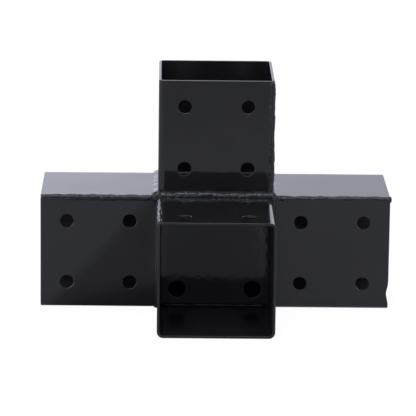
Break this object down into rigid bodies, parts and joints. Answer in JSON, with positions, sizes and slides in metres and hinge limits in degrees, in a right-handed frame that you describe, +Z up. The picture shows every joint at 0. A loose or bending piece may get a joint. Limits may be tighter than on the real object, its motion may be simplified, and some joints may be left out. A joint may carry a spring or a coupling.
{
  "type": "post connector",
  "caption": "Welded steel connector with square sleeves pointing left, right, up and forward from a closed hub, drilled on one face each to screw to timber posts and beams.",
  "frame": {"origin": "middle of the hub's underside, on the surface that the connector stands on", "axes": "+X along the right sleeve, -Y along the front sleeve, which faces the viewer in the picture, +Z up along the upper sleeve"},
  "size_m": [0.2909, 0.1933, 0.1924],
  "materials": {
    "coated_sheet": "gloss black powder coat on folded sheet steel",
    "coated_weld": "gloss black powder coat over rippled weld beads"
  },
  "bodies": {
    "root": {"hub_band": "coated_sheet", "hub_left_plate": "coated_sheet", "hub_right_plate": "coated_sheet", "upper_sleeve": "coated_sheet", "left_sleeve": "coated_sheet", "right_sleeve": "coated_sheet", "front_sleeve": "coated_sheet", "upper_seam_weld": "coated_weld", "left_seam_weld": "coated_weld", "right_seam_weld": "coated_weld", "front_seam_weld": "coated_weld", "hub_seam_weld": "coated_weld", "left_joint_weld": "coated_weld", "right_joint_weld": "coated_weld", "cross_weld": "coated_weld", "back_weld": "coated_weld", "base_weld": "coated_weld"}
  },
  "joints": []
}
